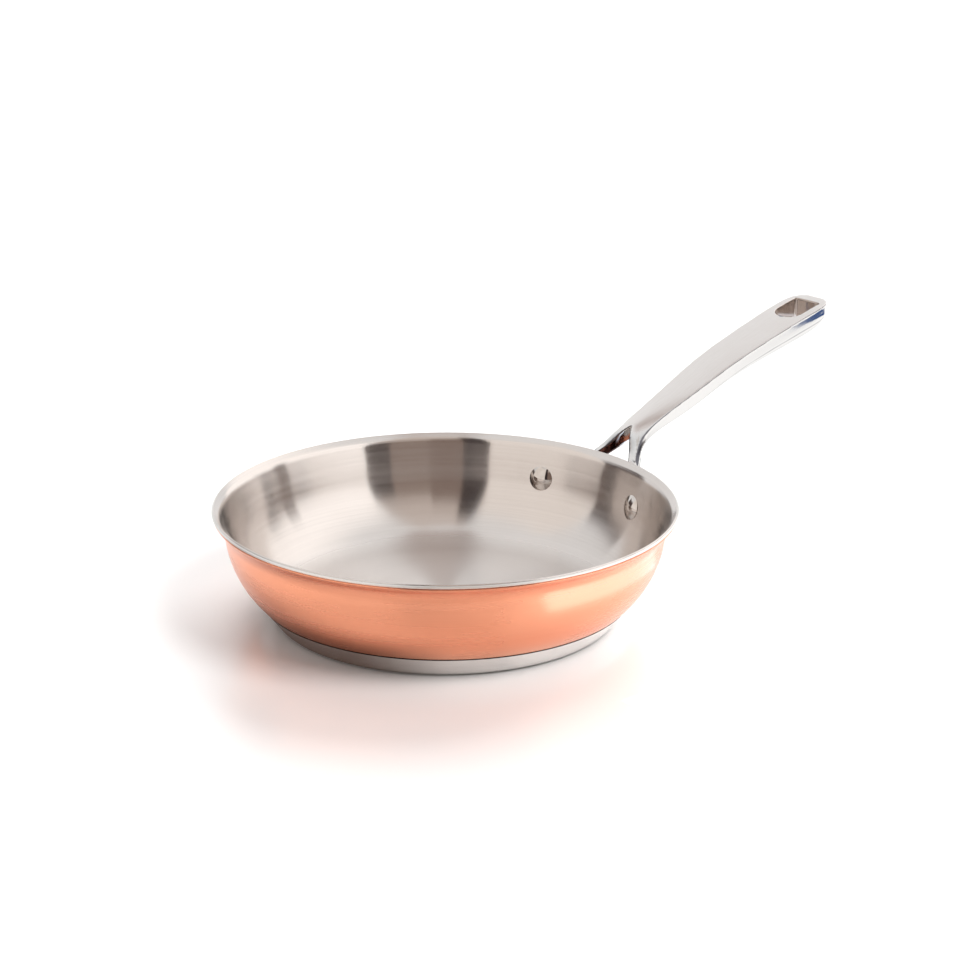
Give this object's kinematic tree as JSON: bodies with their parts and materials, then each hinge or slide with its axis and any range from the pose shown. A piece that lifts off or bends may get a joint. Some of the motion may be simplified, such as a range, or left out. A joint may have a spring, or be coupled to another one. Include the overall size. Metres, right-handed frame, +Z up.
{
  "type": "frying pan",
  "caption": "Low round frying pan, copper outside and steel inside, on a sloping grey foot, with a rising cast handle that forks to riveted pads and ends in a D-shaped hang hole.",
  "frame": {"origin": "centre of the foot's flat underside, on the floor", "axes": "+X out along the handle, +Z up, +Y to the left of the handle"},
  "size_m": [0.4138, 0.24, 0.1142],
  "materials": {
    "liner_steel": "brushed in circles, satin",
    "core_aluminium": "plain edge",
    "copper": "polished copper",
    "spreader_aluminium": "plain",
    "foot_steel": "fine satin",
    "handle_steel": "satin top, polished sides",
    "rivet_steel": "polished"
  },
  "bodies": {
    "root": {"stainless_liner": "liner_steel", "aluminium_core": "core_aluminium", "copper_shell": "copper", "base_core": "spreader_aluminium", "base_cap": "foot_steel", "handle": "handle_steel", "rivet_left": "rivet_steel", "rivet_right": "rivet_steel"}
  },
  "joints": []
}
